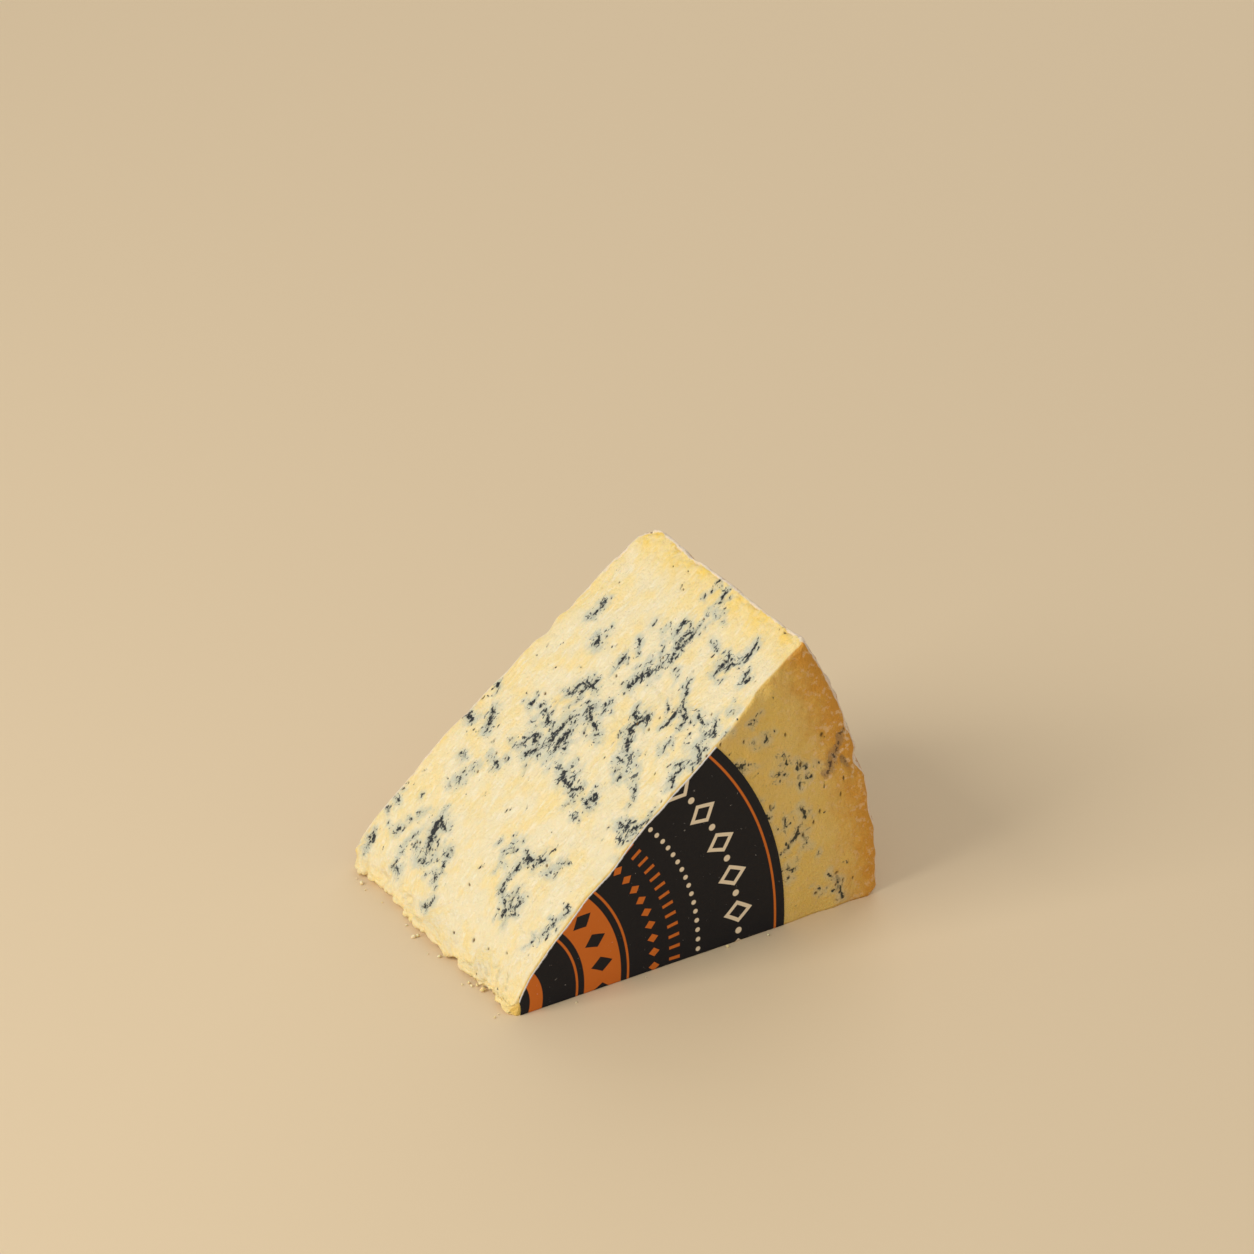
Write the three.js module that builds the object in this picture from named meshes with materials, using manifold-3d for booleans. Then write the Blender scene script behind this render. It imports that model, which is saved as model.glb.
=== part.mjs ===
// A wedge cut from a low drum of blue-veined cheese, with its share of the round paper label still on it.
// It lies on one of its two cut faces, so the drum's own axis is level.
// Millimetres, +Z up. X runs along the table from the tip to the rind, and Y runs along the drum's axis,
// away from the flat face that carries the label. The origin is on the table, under the wedge's middle.
import * as THREE from "three";
import { mergeVertices } from "three/addons/utils/BufferGeometryUtils.js";
import Module from "manifold-3d";

// Driving dimensions of the drum and of the sector cut from it
const drum = {
  radius: 118.3, // from the tip to the rind, along the table
  swell: 9, // how much farther out the rind is at the upper cut
  swellPower: 2.4, // how late in the turn the rind swells
  thickness: 89.5, // between the drum's two flat faces, at the tip
  taper: 12, // how much thinner the drum is at its rind
};
const cut = {
  angle: THREE.MathUtils.degToRad(43.7), // between the two cut faces
  belly: 4.1, // how far the upper cut stands out beyond a straight slice
  bellyPlace: 0.6, // under 1 puts the fullest part of the belly nearer the tip
};
const tip = {
  height: 3.6, // of the blunt face where the two cuts would meet
  undercut: 1.5, // how far its foot is set back
  bulge: 1.3, // how far its middle stands out
};

// How far each edge is rounded
const rim = { labelSide: 2.5, backSide: 7, upperCut: 1.1, tip: 1.6, crust: 0.8, table: 2.2 };

// The label, whose middle isn't quite at the tip
const label = {
  radius: 91.4,
  centre: new THREE.Vector2(-5, 3.5),
  thickness: 0.5,
  gap: 0.3, // clear of the cheese
  inset: 0.7, // short of the upper cut's edge
  lowest: 0.5, // clear of the table
  start: 2.2, // from the tip
  edgeSteps: 60, // along the upper cut
  rimSteps: 20, // round its own rim
};

// Bumps of each surface: the size and the depth of each layer
const bumps = {
  rind: [[14, 1.1], [5.5, 0.8]],
  back: [[19, 1.1], [7, 0.6]],
  flat: [[14, 0.5], [5.5, 0.25]],
  cut: [[16, 0.55], [6, 0.3]],
  tip: [[9, 1.5], [4.2, 1.1]],
};
const rindStretch = 2.2; // the rind's bumps are this much longer along the axis
const bumpFade = 9; // how far behind its own surface a bump is still felt
const quietZone = 6; // the flat face becomes bumpy over this distance outside the label

// The upper cut is rougher near to the tip, and the tip's lumps grow towards the back
const crumbly = { reach: 11, gain: 1.4, foot: 5, labelEnd: 0.6, backEnd: 1.25 };

// Pieces broken off the edges: where, as shares of the way to the rind, to the upper cut and to the back
const chips = [
  { u: 1, v: 0.5, w: 0, reach: 6, depth: 2 },
  { u: 0.67, v: 1, w: 1, reach: 5, depth: 1.5 },
  { u: 0.74, v: 1, w: 1, reach: 4, depth: 1.2 },
  { u: 0.86, v: 1, w: 0, reach: 4, depth: 1.1 },
  { u: 1, v: 1, w: 0.72, reach: 6, depth: 1.5 },
  { u: 1, v: 0.2, w: 1, reach: 8, depth: 2 },
  { u: 1, v: 0.72, w: 1, reach: 7, depth: 1.8 },
  { u: 0, v: 0.5, w: 1, reach: 8, depth: 2.4 },
  { u: 0, v: 1, w: 0.83, reach: 5, depth: 1.8 },
  { u: 0, v: 1, w: 0.66, reach: 4.5, depth: 1.6 },
];

// Mesh rows along the cut, round the rind and along the axis, drawn closer together towards the edges
const rows = { along: 40, around: 26, across: 30, crowding: 0.45 };
const weldDistance = 1e-3;
const skirt = 2; // the mesh runs this far below the table, where it is cut off flat

const origin = new THREE.Vector3(drum.radius / 2, (drum.thickness - label.gap - label.thickness) / 2, 0);

// A point well inside, towards which pieces break off
const core = new THREE.Vector3(0.6 * drum.radius, drum.thickness / 2, 0.24 * drum.radius);

// A repeatable number from 0 to 1 for each point of a whole-number grid
function gridValue(i, j, k) {
  let hash = Math.imul(i, 374761393) ^ Math.imul(j, 668265263) ^ Math.imul(k, 1440662683);
  hash = Math.imul(hash ^ (hash >>> 13), 1274126177);
  return ((hash ^ (hash >>> 16)) >>> 0) / 4294967296;
}

const smooth = (t) => t * t * (3 - 2 * t);
const step = (t) => smooth(Math.min(Math.max(t, 0), 1));

// Smooth noise from -1 to 1, with features about one unit across
function noise(x, y, z) {
  const [i, j, k] = [x, y, z].map(Math.floor);
  const [a, b, c] = [x - i, y - j, z - k].map(smooth);
  let sum = 0;
  for (let corner = 0; corner < 8; corner++) {
    const [p, q, r] = [corner & 1, (corner >> 1) & 1, corner >> 2];
    const weight = (p ? a : 1 - a) * (q ? b : 1 - b) * (r ? c : 1 - c);
    sum += weight * gridValue(i + p, j + q, k + r);
  }
  return 2 * sum - 1;
}

// Layers of noise, drawn out along the axis
function layered(layers, p, stretch = 1) {
  let sum = 0;
  for (const [size, depth] of layers) sum += depth * noise(p.x / size, p.y / size / stretch, p.z / size);
  return sum;
}

// Moves a point that is within r of two faces on to a rounded edge: a and b are its distances from them
function roundEdge(a, b, r) {
  const [da, db] = [r - a, r - b];
  if (da <= 0 || db <= 0) return [a, b];
  const share = Math.max(da, db) / Math.hypot(da, db);
  return [r - da * share, r - db * share];
}

const upperNormal = new THREE.Vector2(-Math.sin(cut.angle), Math.cos(cut.angle));

// The wedge seen along the drum's axis: u goes from the tip to the rind, and v from the table to the upper cut
function sectionPoint(u, v) {
  const turn = cut.angle * v;
  const radius = drum.radius + drum.swell * v ** drum.swellPower;
  const outer = new THREE.Vector2(radius * Math.cos(turn), radius * Math.sin(turn));
  const inner = new THREE.Vector2(
    tip.undercut * (1 - v) ** 2 + tip.bulge * (1 - Math.sin(Math.PI * v)),
    tip.height * v,
  );
  const belly = cut.belly * Math.sin(Math.PI * u ** cut.bellyPlace) * v ** 2;
  return inner.lerp(outer, u).addScaledVector(upperNormal, belly);
}

// Lengths across the block at a place, in the directions of u, v and w
const acrossFrom = (u) => ({
  u: drum.radius,
  v: tip.height + cut.angle * drum.radius * u,
  w: drum.thickness - drum.taper * u,
});

// The same place with its edges rounded
function rounded(u, v, w) {
  const size = acrossFrom(u);
  const labelHalf = w < 0.5;
  let toSide = (labelHalf ? w : 1 - w) * size.w;
  let toUpper = (1 - v) * size.v;
  let toRind = (1 - u) * size.u;
  [toRind, toSide] = roundEdge(toRind, toSide, labelHalf ? rim.labelSide : rim.backSide);
  [toUpper, toSide] = roundEdge(toUpper, toSide, rim.crust);
  [toRind, toUpper] = roundEdge(toRind, toUpper, rim.upperCut);
  let toTip = size.u - toRind;
  [toTip, toUpper] = roundEdge(toTip, toUpper, rim.tip);
  const side = toSide / size.w;
  return [toTip / size.u, 1 - toUpper / size.v, labelHalf ? side : 1 - side];
}

// How far each surface's own bumps carry a point
function bumpMove(p, u, v, w) {
  const size = acrossFrom(u);
  const near = (distance) => step(1 - distance / bumpFade);
  const fromTip = u * size.u;
  const fromLabel = Math.hypot(p.x - label.centre.x, p.z - label.centre.y) - label.radius;
  const rough = (1 + crumbly.gain * step(1 - fromTip / crumbly.reach)) * step(p.z / crumbly.foot);
  const lumps = THREE.MathUtils.lerp(crumbly.labelEnd, crumbly.backEnd, w);
  const outward = new THREE.Vector3(p.x, 0, p.z).normalize();
  const move = new THREE.Vector3();
  move.addScaledVector(outward, layered(bumps.rind, p, rindStretch) * near((1 - u) * size.u));
  move.y -= layered(bumps.flat, p) * near(w * size.w) * step(fromLabel / quietZone);
  move.y += layered(bumps.back, p) * near((1 - w) * size.w);
  const lift = layered(bumps.cut, p) * rough * near((1 - v) * size.v);
  move.x += upperNormal.x * lift;
  move.z += upperNormal.y * lift;
  move.x += layered(bumps.tip, p) * lumps * near(fromTip) * step((w * size.w) / bumpFade);
  return move;
}

// A point of the wedge's surface, with u, v and w as the shares that chips uses
function surfacePoint(u, v, w) {
  const place = (...block) => {
    const [a, b, c] = rounded(...block);
    const section = sectionPoint(a, b);
    return new THREE.Vector3(section.x, c * acrossFrom(a).w, section.y);
  };
  const p = place(u, v, w);
  const move = bumpMove(p, u, v, w);
  for (const chip of chips) {
    const near = step(1 - p.distanceTo(place(chip.u, chip.v, chip.w)) / chip.reach);
    move.addScaledVector(core.clone().sub(p).normalize(), chip.depth * near);
  }
  p.add(move);
  p.x -= rim.table * step(1 - p.z / rim.table) * step(2 * u - 1);
  if (v === 0) p.z = -skirt;
  return p;
}

// Shares from 0 to 1 that are closer together at both ends
const graded = (count) =>
  Array.from({ length: count + 1 }, (_, i) => {
    const t = i / count;
    return t - (rows.crowding * Math.sin(2 * Math.PI * t)) / (2 * Math.PI);
  });

// The closed surface, as six sheets that share their edges
function wedgeSurface() {
  const [us, vs, ws] = [graded(rows.along), graded(rows.around), graded(rows.across)];
  const corners = [];
  const sheet = (as, bs, point) => {
    for (let i = 1; i < as.length; i++)
      for (let j = 1; j < bs.length; j++) {
        const a = point(as[i - 1], bs[j - 1]);
        const b = point(as[i], bs[j - 1]);
        const c = point(as[i], bs[j]);
        const d = point(as[i - 1], bs[j]);
        corners.push(a, b, c, a, c, d);
      }
  };
  sheet(us, ws, (u, w) => surfacePoint(u, 1, w));
  sheet(ws, us, (w, u) => surfacePoint(u, 0, w));
  sheet(us, vs, (u, v) => surfacePoint(u, v, 0));
  sheet(vs, us, (v, u) => surfacePoint(u, v, 1));
  sheet(ws, vs, (w, v) => surfacePoint(1, v, w));
  sheet(vs, ws, (v, w) => surfacePoint(0, v, w));
  return new THREE.BufferGeometry().setFromPoints(corners);
}

const wasm = await Module();
wasm.setup();

function solidFrom(geometry) {
  const bare = geometry.clone().deleteAttribute("normal").deleteAttribute("uv");
  const merged = mergeVertices(bare, weldDistance);
  return new wasm.Manifold(
    new wasm.Mesh({
      numProp: 3,
      vertProperties: merged.attributes.position.array,
      triVerts: new Uint32Array(merged.index.array),
    }),
  );
}

function geometryFrom(solid) {
  const mesh = solid.getMesh();
  return new THREE.BufferGeometry()
    .setAttribute("position", new THREE.BufferAttribute(mesh.vertProperties, 3))
    .setIndex(new THREE.BufferAttribute(mesh.triVerts, 1));
}

// The wedge, cut off flat where it rests on the table
function cheeseGeometry() {
  const depth = 2 * skirt;
  const under = new THREE.BoxGeometry(3 * drum.radius, 3 * drum.radius, depth);
  under.translate(0, 0, -depth / 2);
  const cheese = geometryFrom(solidFrom(wedgeSurface()).subtract(solidFrom(under)));
  cheese.computeVertexNormals();
  return cheese;
}

// The label's outline: up the edge of the cut, round its own rim and back above the table
function labelGeometry() {
  const outline = new THREE.Shape();
  outline.moveTo(label.start, label.lowest);
  let last = new THREE.Vector2();
  for (let i = 1; i <= label.edgeSteps; i++) {
    const p = sectionPoint(i / label.edgeSteps, 1).addScaledVector(upperNormal, -label.inset);
    if (p.x < label.start) continue;
    if (p.distanceTo(label.centre) > label.radius) break;
    outline.lineTo(p.x, p.y);
    last = p;
  }
  const fromCentre = last.clone().sub(label.centre);
  const lowestTurn = Math.asin((label.lowest - label.centre.y) / label.radius);
  outline.absarc(label.centre.x, label.centre.y, label.radius, fromCentre.angle(), lowestTurn, true);
  outline.closePath();
  const geometry = new THREE.ExtrudeGeometry(outline, {
    depth: label.thickness,
    bevelEnabled: false,
    curveSegments: label.rimSteps,
  });
  return geometry.rotateX(Math.PI / 2).translate(0, -label.gap, 0);
}

const pasteFinish = new THREE.MeshStandardMaterial({ color: 0xf0dca6, roughness: 0.55, metalness: 0 });
const labelFinish = new THREE.MeshStandardMaterial({ color: 0x26252b, roughness: 0.6, metalness: 0 });

function part(name, geometry, finish) {
  const mesh = new THREE.Mesh(geometry, finish);
  mesh.name = name;
  return mesh;
}

const wedge = new THREE.Group();
wedge.add(part("cheese", cheeseGeometry(), pasteFinish), part("label", labelGeometry(), labelFinish));
wedge.position.copy(origin).negate();

export default wedge;
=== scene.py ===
# A wedge cut from a low drum of blue-veined cheese, with its sector of paper label.
# Lengths are in millimetres in the wedge's own frame, as in its solid, until place() makes them metres.
# There X runs along the table from the tip to the rind, and Y along the drum's axis, away from the label.
import math

import bmesh
import bpy
import numpy as np
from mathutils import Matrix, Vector


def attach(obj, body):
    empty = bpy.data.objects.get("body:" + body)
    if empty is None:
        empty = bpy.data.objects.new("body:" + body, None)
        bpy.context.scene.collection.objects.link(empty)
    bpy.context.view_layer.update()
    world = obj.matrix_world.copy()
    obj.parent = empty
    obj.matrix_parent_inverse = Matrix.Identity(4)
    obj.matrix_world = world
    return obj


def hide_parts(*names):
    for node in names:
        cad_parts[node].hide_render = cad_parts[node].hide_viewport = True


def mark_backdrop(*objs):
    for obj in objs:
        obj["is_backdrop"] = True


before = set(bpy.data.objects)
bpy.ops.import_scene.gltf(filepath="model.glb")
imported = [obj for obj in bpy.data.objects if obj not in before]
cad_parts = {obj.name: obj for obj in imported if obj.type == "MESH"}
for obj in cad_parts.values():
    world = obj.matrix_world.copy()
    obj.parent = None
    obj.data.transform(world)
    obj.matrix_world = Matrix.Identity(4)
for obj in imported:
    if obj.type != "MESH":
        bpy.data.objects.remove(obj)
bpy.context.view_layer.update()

MM = 0.001

# The wedge's driving dimensions, the same as its solid's
DRUM_RADIUS, DRUM_SWELL, SWELL_POWER = 118.3, 9, 2.4
THICKNESS, TAPER = 89.5, 12
CUT_ANGLE, BELLY, BELLY_PLACE = math.radians(43.7), 4.1, 0.6
TIP_HEIGHT, TIP_UNDERCUT, TIP_BULGE = 3.6, 1.5, 1.3
RIM_LABEL_SIDE, RIM_BACK_SIDE, RIM_UPPER_CUT, RIM_TIP, RIM_CRUST, RIM_TABLE = 2.5, 7, 1.1, 1.6, 0.8, 2.2
LABEL_RADIUS, LABEL_CENTRE = 91.4, (-5, 3.5)
LABEL_GAP, LABEL_THICKNESS = 0.3, 0.5
ORIGIN = np.array([DRUM_RADIUS / 2, (THICKNESS - LABEL_GAP - LABEL_THICKNESS) / 2, 0])
CORE = np.array([0.6 * DRUM_RADIUS, THICKNESS / 2, 0.24 * DRUM_RADIUS])
TURN_RADIUS = 0.6 * DRUM_RADIUS
UPPER_NORMAL = np.array([-math.sin(CUT_ANGLE), 0, math.cos(CUT_ANGLE)])

# Bumps that the solid has too: the size and the depth of each layer
RIND_BUMPS = [(14, 1.1), (5.5, 0.8)]
BACK_BUMPS = [(19, 1.1), (7, 0.6)]
FLAT_BUMPS = [(14, 0.5), (5.5, 0.25)]
CUT_BUMPS = [(16, 0.55), (6, 0.3)]
TIP_BUMPS = [(9, 1.5), (4.2, 1.1)]
RIND_STRETCH, BUMP_FADE, QUIET_ZONE = 2.2, 9, 6
CRUMBLY_REACH, CRUMBLY_GAIN, CRUMBLY_FOOT, LUMPS_LABEL_END, LUMPS_BACK_END = 11, 1.4, 5, 0.6, 1.25

# How much calmer than in the solid the bumps of the rind and of the back are beside their rims
RIM_CALM, CALM_REACH = 0.55, 12

# Pieces broken off the edges, three of them shallower than in the solid: u, v, w, reach and depth
CHIPS = [
    (1, 0.5, 0, 6, 2),
    (0.67, 1, 1, 5, 0.9),
    (0.74, 1, 1, 4, 0.6),
    (0.86, 1, 0, 4, 1.1),
    (1, 1, 0.72, 6, 0.6),
    (1, 0.2, 1, 8, 2),
    (1, 0.72, 1, 7, 1.8),
    (0, 0.5, 1, 8, 2.4),
    (0, 1, 0.83, 5, 1.8),
    (0, 1, 0.66, 4.5, 1.6),
]

# Rows of the fine mesh along the cut, round the rind and along the axis, the first and last of them even
ROWS_ALONG, ROWS_AROUND, ROWS_ACROSS, CROWDING = 204, 88, 146, 0.25

# Veins of the upper cut: how thick each is, then its points as (along from the tip, across from the label)
CUT_VEINS = [
    (0.9, (56.5, 0), (55.5, 4), (55, 9)),
    (0.8, (57, 1.5), (61.5, 1)),
    (0.5, (51, 3.5), (53.5, 4.5)),
    (1.1, (77.5, 6), (80.5, 2.5), (82, 0)),
    (1.1, (82, 1), (84, 3), (85, 6.3)),
    (0.8, (88.5, 6.3), (91, 4.5), (94, 6.5)),
    (0.7, (91, 8), (91.2, 13), (93, 12.8)),
    (0.9, (86, 14.5), (89.5, 15), (90, 19), (94, 21.5), (97, 23.5)),
    (0.8, (85, 20), (87.5, 19.3), (90, 19.3)),
    (0.7, (64, 10.5), (66.5, 13.5), (68.5, 16), (71.5, 17)),
    (1, (64, 20), (69, 20), (70.5, 22.3), (72.5, 26), (78.5, 29), (81, 27.3), (83.5, 27.3)),
    (0.8, (81, 27.5), (80.8, 31.5), (83.5, 33)),
    (0.6, (69, 20), (69, 26)),
    (1, (84.5, 40), (89, 40.5), (94, 38), (96, 36.5), (100, 35), (103, 35.5), (109, 34.3)),
    (0.8, (103, 35.5), (104.5, 39.5), (110, 40)),
    (0.9, (100, 35), (104, 37), (109, 36.5)),
    (0.7, (109, 34.3), (116, 35), (124, 36)),
    (1.2, (56.5, 46.3), (60, 46), (63.5, 46.8), (69, 46.8), (73.5, 46.3), (76.5, 45.3)),
    (0.9, (72, 39.5), (72.5, 43), (74, 46.5)),
    (1.2, (53.5, 54.5), (56, 53), (60, 49), (62.5, 50.5), (69, 49.7), (73, 47)),
    (0.8, (60, 46), (62, 42.5)),
    (0.8, (62, 50.5), (65, 53), (64.5, 57)),
    (1, (53.5, 59), (56.5, 57), (59.5, 56)),
    (0.9, (80, 48.5), (80, 53), (78.5, 55.5), (73.5, 56.3)),
    (0.5, (70, 53), (78.5, 53)),
    (1, (52, 27.5), (54, 29.5), (55, 34.5), (56.8, 37), (57.5, 40.5)),
    (0.7, (53, 28.8), (57.5, 28.8)),
    (0.8, (54.5, 36.8), (60.5, 36.8)),
    (0.9, (23.7, 18.5), (20.5, 20), (17, 22.6), (19.5, 25.5), (21, 28.8), (25, 29.2), (29, 29.3), (33, 28)),
    (0.8, (33, 28), (33.5, 25), (35, 22)),
    (0.8, (18, 22), (24, 22.6)),
    (1, (36.7, 16), (33.3, 18)),
    (0.6, (23.7, 34.7), (26.7, 35.5), (33.5, 35.5)),
    (0.7, (15.8, 6.8), (19, 5.5), (23.7, 3.4), (28.7, 3)),
    (0.6, (23.7, 3.4), (24.2, 6.5)),
    (0.9, (10, 53), (12.5, 54.7)),
    (1, (16, 54.7), (19.5, 55)),
    (1, (15.8, 58), (12.5, 59.7), (10.8, 63), (15, 62.2), (19, 64.7), (25, 65.5)),
    (1.6, (20.5, 65), (24.5, 65.3)),
    (0.9, (12.5, 59.7), (13.3, 65.5)),
    (0.8, (10, 70.5), (13, 71.7), (17.5, 69)),
    (0.8, (2, 51.3), (5, 49), (7, 49)),
    (1.1, (4.6, 67.6), (5.3, 68.4)),
    (0.8, (46, 59.5), (46.7, 64.7)),
    (1.2, (51.7, 73), (54, 74.3), (57, 76)),
    (0.9, (94, 71), (98.5, 70), (101, 70.5)),
    (0.9, (88.7, 61.7), (90.7, 61), (92, 63.5)),
    (0.9, (103, 18.5), (108, 18), (108.7, 14.7), (110, 13.8), (117.5, 13.8)),
    (0.8, (107.5, 20.5), (108.3, 16.5)),
    (0.8, (109, 24), (110, 26.5)),
    (0.7, (105.5, 7.5), (110.5, 8.5)),
    (0.9, (78, 14), (81.5, 14)),
    (0.7, (72.5, 1.3), (74.5, 4.3)),
    (1.3, (69.6, 37.6), (70.4, 37)),
    (0.7, (75, 41), (80, 42)),
    (0.9, (2.5, 83.4), (5, 84.3), (8.5, 85.5)),
    (0.9, (12.8, 77.8), (14, 77.3)),
    (0.9, (20.3, 84), (20.3, 87)),
    (1, (21.5, 73.8), (22.6, 73.2)),
    (1, (51.7, 80.5), (52, 84.5)),
    (0.8, (63, 81), (64, 82)),
    (1.1, (35.6, 69.3), (36.4, 68.6)),
    (1.1, (41, 67.4), (42.4, 67)),
    (0.9, (41, 73.2), (42, 73.8)),
    (0.8, (64.5, 56), (66.5, 58.5), (65.5, 60)),
    (0.8, (61.7, 60.3), (64, 59.8)),
    (0.9, (64.5, 65), (65.5, 66)),
    (0.8, (87.5, 49), (92, 49.7)),
    (0.8, (96, 47.3), (98.3, 49)),
    (0.7, (104, 44.7), (106.5, 44.3)),
    (0.8, (116.7, 32), (118, 35)),
    (0.8, (96, 29.3), (97.7, 29.8)),
    (0.8, (53.5, 22), (55.5, 20.5), (57.5, 23), (54.5, 24), (53.5, 22)),
    (0.8, (48.6, 23.5), (50, 22.8)),
    (0.7, (99.5, 1.7), (97.5, 4)),
]

# Veins of the label's side: how thick each is, then its points as (along from the tip, height)
SIDE_VEINS = [
    (0.9, (66.5, 67), (69, 67.3)),
    (0.6, (74.3, 69.5), (75, 67)),
    (0.8, (76, 61), (80, 60.3), (79, 63)),
    (0.8, (70.5, 56), (73.5, 53.7)),
    (0.6, (85, 55.3), (86.5, 53.5)),
    (0.8, (83, 49.5), (86, 48)),
    (0.7, (90, 51), (90.5, 48), (92, 42)),
    (0.6, (93, 48.5), (93.3, 45)),
    (0.8, (80, 37.4), (80.6, 36.4)),
    (0.8, (86.5, 34.5), (86.5, 31)),
    (1, (91.5, 36), (92.5, 32)),
    (0.9, (91.5, 29), (89.5, 26), (87, 24)),
    (0.9, (92.5, 27), (94, 23)),
    (0.9, (84, 23.3), (84.8, 22.6)),
    (0.9, (88, 19), (88, 14)),
    (0.6, (97.5, 20), (97.7, 18.8)),
    (0.7, (101, 12), (104.7, 7), (105.5, 2)),
    (0.6, (98, 8), (98.3, 6)),
]

# Brown mould by the broken rim, given like the veins
MOULD_STREAKS = [
    (1.7, (106.3, 56.5), (104.3, 53.5), (102.4, 50.5)),
    (2.2, (102.4, 50.5), (101, 47.5), (99.8, 44)),
    (1.1, (105.5, 46.5), (106.8, 44)),
]

# The camera that the photograph was taken with, aimed at a point of the table
FOCAL_PIXELS, FRAME_PIXELS, SENSOR = 5000, 1254, 36
CAMERA_AZIMUTH, CAMERA_ELEVATION, CAMERA_DISTANCE = math.radians(31.82), math.radians(29.5), 1507.6
CAMERA_TARGET = np.array([135.455, 160.159, 1.9])


def place(points):
    """Millimetres in the wedge's own frame as metres in the part's frame."""
    return (np.asarray(points, float) - ORIGIN) * MM


def rgb(red, green, blue):
    """A colour of 0 to 255 as a screen shows it, as linear light with full alpha."""
    parts = [c / 255 for c in (red, green, blue)]
    return tuple(c / 12.92 if c <= 0.04045 else ((c + 0.055) / 1.055) ** 2.4 for c in parts) + (1,)


# Noise

HASH_FACTORS = np.array([374761393, 668265263, 1440662683, 1274126177], np.uint32)


def grid_value(i, j, k):
    """A repeatable number from 0 to 1 for each point of a whole-number grid."""
    i, j, k = (a.astype(np.int64).astype(np.uint32) for a in (i, j, k))
    value = (i * HASH_FACTORS[0]) ^ (j * HASH_FACTORS[1]) ^ (k * HASH_FACTORS[2])
    value = (value ^ (value >> np.uint32(13))) * HASH_FACTORS[3]
    return (value ^ (value >> np.uint32(16))) / 4294967296


def smooth(t):
    return t * t * (3 - 2 * t)


def step(t):
    return smooth(np.clip(t, 0, 1))


def fade(distance, reach, whole=0):
    """1 over the first share of the reach that stays whole, then less, and 0 one reach farther out."""
    return step(1 + whole - distance / reach)


def noise(p):
    """Smooth noise from -1 to 1, with features about one unit across."""
    cell = np.floor(p)
    a, b, c = smooth(p - cell).T
    i, j, k = cell.T
    total = 0
    for corner in range(8):
        x, y, z = corner & 1, corner >> 1 & 1, corner >> 2
        weight = (a if x else 1 - a) * (b if y else 1 - b) * (c if z else 1 - c)
        total = total + weight * grid_value(i + x, j + y, k + z)
    return 2 * total - 1


def layered(layers, p, stretch=1):
    """Layers of noise, drawn out along the axis."""
    return sum(depth * noise(p / (size, size * stretch, size)) for size, depth in layers)


def folded(p):
    """Noise that is 0 in sharp winding hollows and rises between them."""
    return np.abs(noise(p))


def ridged(p):
    """Noise that is 1 on thin winding sheets and falls to 0 between them."""
    return 1 - folded(p)


def grain(layers, p, kind=noise):
    """Layers of one kind of noise, each given as its size, its height and a shift that sets it apart."""
    return sum(height * kind(p / size + shift) for size, height, shift in layers)


# The wedge's surface

def round_edge(a, b, r):
    """Moves points that are within r of two faces on to a rounded edge."""
    da, db = r - a, r - b
    near = (da > 0) & (db > 0)
    share = np.maximum(da, db) / np.maximum(np.hypot(da, db), 1e-9)
    return np.where(near, r - da * share, a), np.where(near, r - db * share, b)


def section(u, v):
    """x and z of the wedge seen along the axis: u goes from the tip to the rind, v from the table up."""
    turn = CUT_ANGLE * v
    radius = DRUM_RADIUS + DRUM_SWELL * v**SWELL_POWER
    inner_x = TIP_UNDERCUT * (1 - v) ** 2 + TIP_BULGE * (1 - np.sin(np.pi * v))
    belly = BELLY * np.sin(np.pi * u**BELLY_PLACE) * v**2
    x = inner_x * (1 - u) + radius * np.cos(turn) * u + UPPER_NORMAL[0] * belly
    z = TIP_HEIGHT * v * (1 - u) + radius * np.sin(turn) * u + UPPER_NORMAL[2] * belly
    return x, z


def across_from(u):
    """Lengths across the block in the directions of u, v and w."""
    return DRUM_RADIUS, TIP_HEIGHT + CUT_ANGLE * DRUM_RADIUS * u, THICKNESS - TAPER * u


def base_place(u, v, w):
    """A point of the block with rounded edges, before its bumps."""
    size_u, size_v, size_w = across_from(u)
    label_half = w < 0.5
    to_side = np.where(label_half, w, 1 - w) * size_w
    to_upper = (1 - v) * size_v
    to_rind = (1 - u) * size_u
    to_rind, to_side = round_edge(to_rind, to_side, np.where(label_half, RIM_LABEL_SIDE, RIM_BACK_SIDE))
    to_upper, to_side = round_edge(to_upper, to_side, RIM_CRUST)
    to_rind, to_upper = round_edge(to_rind, to_upper, RIM_UPPER_CUT)
    to_tip, to_upper = round_edge(size_u - to_rind, to_upper, RIM_TIP)
    u = np.clip(to_tip / size_u, 0, 1)
    v = np.clip(1 - to_upper / size_v, 0, 1)
    w = np.where(label_half, to_side / size_w, 1 - to_side / size_w)
    x, z = section(u, v)
    return np.stack([x, w * across_from(u)[2], z], -1)


def past_label(p):
    """How far each point is outside the label's round edge."""
    return np.hypot(p[:, 0] - LABEL_CENTRE[0], p[:, 2] - LABEL_CENTRE[1]) - LABEL_RADIUS


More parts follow.
